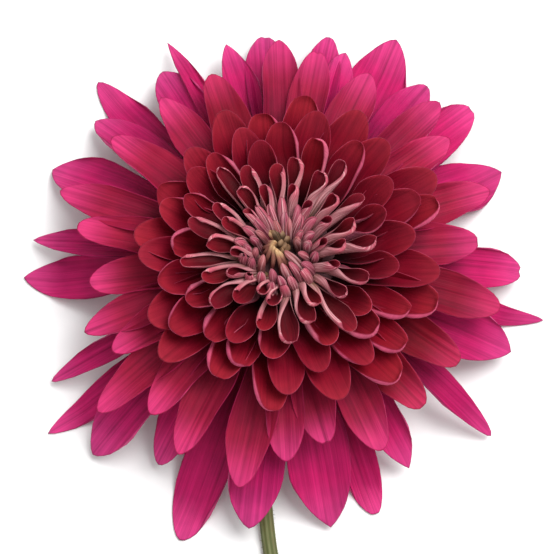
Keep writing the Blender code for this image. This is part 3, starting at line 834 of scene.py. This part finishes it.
class FinishKit(Kit):
    """A material's tree, whose formulas end in its one shader"""

    def __init__(self, name, roughness, sheen, shine=0.1):
        self.material = bpy.data.materials.new(name)
        self.material.use_nodes = True
        super().__init__(self.material.node_tree)
        self.shader = self.tree.nodes["Principled BSDF"]
        values = {
            "Roughness": roughness, "Specular IOR Level": shine, "Sheen Weight": sheen,
            "Sheen Roughness": 0.4, "Sheen Tint": (1.0, 0.45, 0.6, 1.0),
        }
        for label, value in values.items():
            self.shader.inputs[label].default_value = value

    def mix(self, first, second, share):
        node = self.add("ShaderNodeMix", {0: share, 6: first, 7: second}, data_type="RGBA")
        return Field(self, node.outputs[2])

    def noise(self, place, scale, detail):
        """Noise from 0 to 1, on average a half"""
        node = self.add("ShaderNodeTexNoise", {"Vector": place, "Scale": scale, "Detail": detail})
        return Field(self, node.outputs["Fac"])

    def streaks(self, places, counts, scale, detail):
        """Noise drawn out, so many times over each of three places"""
        spot = self.vector(*(place * count for place, count in zip(places, counts)))
        return self.noise(spot, scale, detail)

    def shade(self, base, value, hue):
        """The colour made brighter or darker, and turned a little in hue"""
        values = {"Hue": hue, "Saturation": 1.0, "Value": value, "Color": base}
        return Field(self, self.add("ShaderNodeHueSaturation", values).outputs["Color"])

    def spot(self):
        """Object coordinates in millimetres"""
        node = self.add("ShaderNodeTexCoord")
        return Field(self, node.outputs["Object"]) * (1.0 / MM)

    def finish(self, base, height, depth):
        """Ends the tree: base colour, and a bump of this height over this depth in millimetres"""
        values = {"Strength": 1.0, "Distance": depth * MM, "Height": height}
        bump = self.add("ShaderNodeBump", values)
        self.feed(self.shader.inputs["Base Color"], base)
        self.tree.links.new(bump.outputs["Normal"], self.shader.inputs["Normal"])
        return self.material


# A floret's colours at the stalk, on the blade and at the tip, inside and then outside, and on its rim,
# which where paler than the blade is partly the outer face's colour and partly painted sheen
Palette = namedtuple("Palette", "stalk blade tip back_stalk back back_tip rim")


def palette_of(*screen_colours):
    return Palette(*(colour(*own) for own in screen_colours))


OUTERMOST = palette_of(
    (110, 6, 42), (172, 22, 86), (194, 54, 118), (140, 46, 78),
    (178, 56, 104), (198, 76, 126), (132, 12, 68))
SECOND = palette_of(
    (76, 2, 22), (142, 22, 54), (190, 48, 104), (136, 44, 70),
    (172, 52, 90), (200, 80, 126), (150, 20, 66))
BROWNED = palette_of(
    (64, 0, 12), (112, 8, 30), (168, 36, 74), (136, 44, 70),
    (166, 52, 86), (178, 62, 96), (138, 34, 60))
# The cups' near-black stalk inside, below the blade, is painted shade at their crowded roots
WIDE_CUP = palette_of(
    (40, 0, 8), (122, 6, 30), (148, 32, 48), (140, 74, 88),
    (168, 64, 92), (178, 68, 100), (118, 8, 32))
DEEP_CUP = palette_of(
    (30, 0, 6), (102, 2, 20), (146, 28, 42), (156, 104, 110),
    (184, 98, 118), (186, 84, 110), (126, 16, 40))
SPOON = palette_of(
    (44, 1, 8), (88, 1, 16), (124, 10, 30), (104, 84, 54),
    (180, 114, 120), (186, 82, 100), (150, 56, 76))
# The quills' darker body outside, below the paler tip, is painted shade in the gaps between them
CLOSED = palette_of(
    (60, 30, 20), (80, 8, 20), (96, 14, 32), (66, 34, 30),
    (106, 38, 52), (164, 68, 90), (90, 28, 42))
STRAW = palette_of(
    (40, 26, 12), (120, 84, 50), (130, 84, 60), (104, 46, 46),
    (156, 100, 86), (200, 162, 118), (180, 130, 90))
# The buds' dark body outside, below the pale top, is painted shade in the gaps between them
OLIVE = palette_of(
    (30, 20, 10), (90, 70, 40), (100, 74, 44), (30, 18, 10),
    (58, 40, 24), (140, 106, 76), (104, 76, 52))
# The heart's dark stalk colours, which also colour its core, are painted shade between the quills
CHEST = palette_of(
    (64, 6, 12), (100, 40, 36), (110, 44, 44), (60, 8, 14),
    (108, 50, 52), (170, 94, 96), (140, 76, 76))
GREEN = palette_of(
    (60, 74, 34), (84, 98, 48), (108, 102, 62), (74, 90, 42),
    (92, 108, 54), (116, 108, 68), (140, 124, 88))

# The heart's silver, partly its florets' own silvery outside and partly painted highlight, the stem's
# colours, and where one of these gives way to the next
SILVER_AND_HIGHLIGHT = colour(214, 166, 168)
FURROW_GREEN = colour(84, 92, 54)
RIB_GREEN = colour(114, 120, 82)
TAN = colour(96, 80, 50)
SCAR_GREY = colour(140, 136, 104)
CUT_GREEN = colour(176, 184, 140)
RIB_EDGE = (-0.8, 0.8)
TAN_EDGE = (0.95, 1.25)
TAN_SHARE = 0.7
SCAR_EDGE = (0.3, 0.9)
CUT_EDGE = (1.1, 1.4)

# Where a floret's colours change along it, inside and outside, between its faces, and from its rim
# inwards in millimetres. The dark stalk inside the cups, and the darker outside below the tip in the
# quills and buds, are painted shade among the crowded florets.
INSIDE_BLADE = (0.28, 0.8)
INSIDE_TIP = (0.74, 1.0)
OUTSIDE_BLADE = (0.3, 0.6)
OUTSIDE_TIP = (0.7, 0.95)
FACES = (-0.3, 0.3)
# A rim paler than its blade is partly the outer face's colour and partly painted sheen
RIM_COLOUR = (0.06, 0.26)
RIM_START = (0.0, 0.05)

# Noises: how often streaks and strands repeat in three directions, then each noise's scale and detail
STREAKS = ((11.0, 1.6, 37.0), 1.0, 4.0)
FINE_STREAKS = ((34.0, 3.0, 53.0), 1.0, 2.0)
STRANDS = ((2.0, 0.12, 3.0), 1.6, 4.0)
PATCHES = (0.22, 2.0)
PORES = (7.0, 2.0)
STEM_PATCHES = (0.12, 3.0)
STEM_PORES = (6.0, 2.0)
PAPER_GRAIN = (0.35, 3.0)

# Where silver, partly painted highlight, shows in the streaks and on which face, and how wide the darker
# lines along the creases are
SILVER_AND_HIGHLIGHT_STREAKS = (0.46, 0.7)
SILVER_AND_HIGHLIGHT_FACE = (-0.9, 0.0)
MIDDLE_CREASE_LINE = 0.05
SIDE_CREASE_LINE = 0.04

# How much chance and the darker lines along the creases change the brightness, how much patches and
# chance turn the hue, the chance at which it stays, and the reliefs' depths in millimetres
CHANCE_LIGHT = 0.16
CREASE_LINE_LIGHT = 0.16
PATCH_HUE = 0.006
CHANCE_HUE = 0.004
PLAIN_CHANCE = 0.7
RELIEF = 0.16
STEM_RELIEF = 0.14
PAPER_RELIEF = 0.02


def palette_colour(kit, palette, along, face, rim, chance):
    # The dark stalk inside, in the cups, is painted shade at the crowded roots
    inside = kit.mix(palette.stalk, palette.blade, kit.step(along, *INSIDE_BLADE))
    inside = kit.mix(inside, palette.tip, kit.step(along, *INSIDE_TIP))
    # The darker outside below the tip, in the quills and buds, is painted shade in the gaps between them
    outside = kit.mix(palette.back_stalk, palette.back, kit.step(along, *OUTSIDE_BLADE))
    outside = kit.mix(outside, palette.back_tip, kit.step(along, *OUTSIDE_TIP))
    base = kit.mix(outside, inside, kit.step(face, *FACES))
    # The rim colour, where paler than the blade, is partly painted sheen
    strength = 0.55 + 0.4 * chance
    edge = (1.0 - kit.step(rim, *RIM_COLOUR)) * strength * kit.step(along, *RIM_START)
    return kit.mix(base, palette.rim, edge)


def floret_finish(
        name, palette, changes=(), roughness=0.6, sheen=0.03, shine=0.1, streaks=0.5, silver=0.0):
    """Florets with fine lengthwise streaks, darker lines along the creases, soft patches, and silver in
    streaks outside that is partly painted highlight, whose palette changes to others, each between two
    places"""
    kit = FinishKit(name, roughness, sheen, shine)
    along, across, face, rim, place, chance = (kit.attribute(name) for name in KEPT)
    where = (along, face, rim, chance)
    base = palette_colour(kit, palette, *where)
    for start, end, after in changes:
        base = kit.mix(base, palette_colour(kit, after, *where), kit.step(place, start, end))
    lines = kit.streaks((across, along, chance), *STREAKS)
    fine = kit.streaks((across, along, chance), *FINE_STREAKS)
    patches = kit.noise(kit.spot(), *PATCHES)
    # Silver in some streaks on the outside: partly the florets' own silver, partly painted highlight
    silver_and_highlight_share = kit.step(lines + (fine - 0.5) * 0.6, *SILVER_AND_HIGHLIGHT_STREAKS) * (1.0 - kit.step(face, *SILVER_AND_HIGHLIGHT_FACE))
    base = kit.mix(base, SILVER_AND_HIGHLIGHT, silver_and_highlight_share * silver)
    # Darker along the middle and the side creases
    crease_lines = kit.creases(across, MIDDLE_CREASE_LINE, SIDE_CREASE_LINE)
    value = 1.0 + (lines - 0.5) * streaks + (fine - 0.5) * (0.5 * streaks) + (patches - 0.5) * 0.5
    value = value + (chance - 0.5) * CHANCE_LIGHT - crease_lines * (CREASE_LINE_LIGHT * streaks)
    hue = 0.5 + (patches - 0.5) * PATCH_HUE + (chance - PLAIN_CHANCE) * CHANCE_HUE
    height = lines * 0.7 + fine * 0.35 + kit.noise(kit.spot(), *PORES) * 0.2
    return kit.finish(kit.shade(base, value, hue), height, RELIEF)


def stem_finish():
    kit = FinishKit("stem_green", 0.55, 0.0)
    rib, flank, scar = (kit.attribute(name) for name in KEPT_ON_STEM)
    spot = kit.spot()
    strands = kit.streaks((rib, kit.parts(spot)[1], flank), *STRANDS)
    patches = kit.noise(spot, *STEM_PATCHES)
    base = kit.mix(FURROW_GREEN, RIB_GREEN, kit.step(rib + strands - 0.5, *RIB_EDGE))
    base = kit.mix(base, TAN, kit.step(strands + patches, *TAN_EDGE) * TAN_SHARE)
    base = kit.mix(base, SCAR_GREY, kit.step(scar, *SCAR_EDGE))
    cut = AXIS / MM + Vector(STEM_ROUTE[-1])
    off = kit.length_of(spot - kit.vector(cut.x, cut.y, cut.z))
    base = kit.mix(CUT_GREEN, base, kit.step(off, *CUT_EDGE))
    return kit.finish(base, strands * 0.6 + kit.noise(spot, *STEM_PORES) * 0.3, STEM_RELIEF)


def backdrop_finish():
    kit = FinishKit("pale_paper", 0.9, 0.0)
    grain = kit.noise(kit.spot(), *PAPER_GRAIN)
    return kit.finish(kit.mix(FLOOR_LOW, FLOOR_HIGH, grain), grain, PAPER_RELIEF)


def make_florets(name, node, slot, core, florets, sizes, palette, **looks):
    """A node's finer piece: its florets round their core"""
    thing = seat_object(name, core, florets)
    run_tree(thing, floret_tree(node + "_form", sizes), sizes, floret_finish(slot, palette, **looks))
    piece(node, thing)


def make_outer_florets():
    draw = random.Random(SEED + 3)
    florets = listed_florets(SECOND_FLORETS, SECOND_ROOT, draw, 0.6, 1.0)
    florets += listed_florets(OUTER_FLORETS, OUTER_ROOT, draw, 0.0, 0.0)
    make_florets(
        "ray_florets_outer", "outer_florets", "magenta_petal", OUTER_CORE, florets,
        blade_sizes(ripple=0.6, crease=0.44, fold=1.2, fold_width=1.8),
        OUTERMOST, changes=[(0.2, 0.6, SECOND), (0.76, 0.95, BROWNED)], streaks=1.0)


def make_middle_florets():
    first = DISC.count + QUILLS.count + SPOONS.count
    florets = spiral_florets(first, CUPS, random.Random(SEED + 2), dress_cup)
    make_florets(
        "ray_florets_middle", "middle_florets", "crimson_petal", MIDDLE_CORE, florets,
        blade_sizes(limb_to=0.7, ripple=0.2, crease=0.08, fold=2.3, fold_width=1.6, plain_rim=0.4),
        DEEP_CUP, changes=[(0.1, 0.6, WIDE_CUP)], streaks=0.6)


def make_inner_florets():
    draw = random.Random(SEED + 1)
    quills = spiral_florets(DISC.count, QUILLS, draw, dress_quill)
    spoons = spiral_florets(DISC.count + QUILLS.count, SPOONS, draw, dress_spoon)
    make_florets(
        "ray_florets_inner", "inner_florets", "mauve_petal", INNER_CORE, quills + spoons,
        blade_sizes(
            columns=15, rows=37, opens_over=0.46, limb_from=0.25, limb_to=0.75, thickness=0.3,
            ripple=0.06, crease=0.03, fold=2.2, plain_rim=0.2),
        CHEST, changes=[(0.02, 0.14, CLOSED), (0.2, 0.45, SPOON)], roughness=0.52, shine=0.22,
        streaks=0.9, silver=0.6)


def make_disc_florets():
    florets = spiral_florets(0, DISC, random.Random(SEED), dress_bud)
    make_florets(
        "disc_buds", "disc_florets", "straw_bud", DISC_CORE, florets,
        blade_sizes(columns=13, rows=25, limb_from=0.3, limb_to=0.8, thickness=0.2),
        STRAW, changes=[(0.5, 1.0, OLIVE)], roughness=0.45, shine=0.3)


def make_calyx():
    bracts = []
    looks_draw = random.Random(SEED + 500)
    for turn, (count, row) in enumerate(BRACT_ROWS):
        for place in range(count):
            direction = 2.0 * math.pi * (place + 0.5 * turn) / count
            bracts.append(floret_on(
                row, direction, 0.0, 0.0, stalk_roll=0.3, claw=1.0, tip=1.3, tip_start=0.5,
                place=0.5 * turn, chance=looks_draw.random()))
    make_florets(
        "involucre", "calyx", "calyx_green", CALYX_BOWL, bracts,
        blade_sizes(columns=13, rows=25, ripple=0.1, crease=0.1, thickness=0.42), GREEN, sheen=0.1)


def make_stem():
    route = smooth_route([Vector(point) for point in STEM_ROUTE], STEM_STEPS)
    girths = []
    travelled = 0.0
    for index, point in enumerate(route):
        travelled += (point - route[max(index - 1, 0)]).length
        neck = 1.0 - smooth_step(travelled, 0.0, STEM_NECK_LENGTH)
        girths.append(between(STEM_RADIUS, STEM_NECK_RADIUS, neck))
    mesh = bpy.data.meshes.new("cut_stem")
    mesh.from_pydata(route, [(index, index + 1) for index in range(len(route) - 1)], [])
    mesh.attributes.new("girth", "FLOAT", "POINT").data.foreach_set("value", girths)
    thing = placed("cut_stem", mesh)
    sizes = {
        "Sides": 90, "Rib height": 0.024, "Scar height": 0.7, "Down": 0.9, "Down length": 0.45,
        "Axis": AXIS,
    }
    run_tree(thing, stem_tree(sizes), sizes, stem_finish(), KEPT_ON_STEM)
    piece("stem", thing)


def add_floor():
    corners = [(x * FLOOR_REACH, y * FLOOR_REACH, 0.0) for x, y in ((-1, -1), (1, -1), (1, 1), (-1, 1))]
    mesh = bpy.data.meshes.new("floor")
    mesh.from_pydata(corners, [], [(0, 1, 2, 3)])
    mesh.materials.append(backdrop_finish())
    floor = placed("floor", mesh)
    floor.location.z = -FLOOR_DROP


def add_light():
    world = bpy.data.worlds.new("studio")
    world.use_nodes = True
    backdrop = world.node_tree.nodes["Background"].inputs
    backdrop["Color"].default_value = (1.0, 1.0, 1.0, 1.0)
    backdrop["Strength"].default_value = WORLD_STRENGTH
    bpy.context.scene.world = world
    lamp = bpy.data.lights.new("key", "AREA")
    lamp.size = LAMP_SIZE
    lamp.energy = LAMP_POWER
    thing = placed("key", lamp)
    way = Vector(LAMP_DIRECTION).normalized()
    thing.location = AXIS + Vector((0.0, 0.0, LIT_HEIGHT)) + way * LAMP_DISTANCE
    thing.rotation_euler = way.to_track_quat("Z", "Y").to_euler()
    bpy.context.scene.view_settings.view_transform = "Standard"


def add_camera():
    """The photograph's view: the bloom seen from above, its stem towards the viewer"""
    height = math.radians(CAMERA_HEIGHT)
    toward = Vector((0.0, -math.cos(height), math.sin(height)))
    upward = Vector((0.0, math.sin(height), math.cos(height)))
    right = Vector((1.0, 0.0, 0.0))
    middle = 0.5 * PHOTO_SIZE
    target = AXIS + right * ((middle - BLOOM_PIXEL[0]) / PHOTO_SCALE * MM)
    target = target + upward * ((BLOOM_PIXEL[1] - middle) / PHOTO_SCALE * MM)
    camera = bpy.data.cameras.new("camera")
    camera.sensor_width = CAMERA_SENSOR
    camera.lens = CAMERA_SENSOR * CAMERA_DISTANCE / (PHOTO_SIZE / PHOTO_SCALE)
    thing = placed("camera", camera)
    thing.location = target + toward * (CAMERA_DISTANCE * MM)
    thing.rotation_euler = toward.to_track_quat("Z", "Y").to_euler()
    bpy.context.scene.camera = thing


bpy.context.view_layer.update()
make_stem()
make_calyx()
make_outer_florets()
make_middle_florets()
make_inner_florets()
make_disc_florets()
add_floor()
add_light()
add_camera()
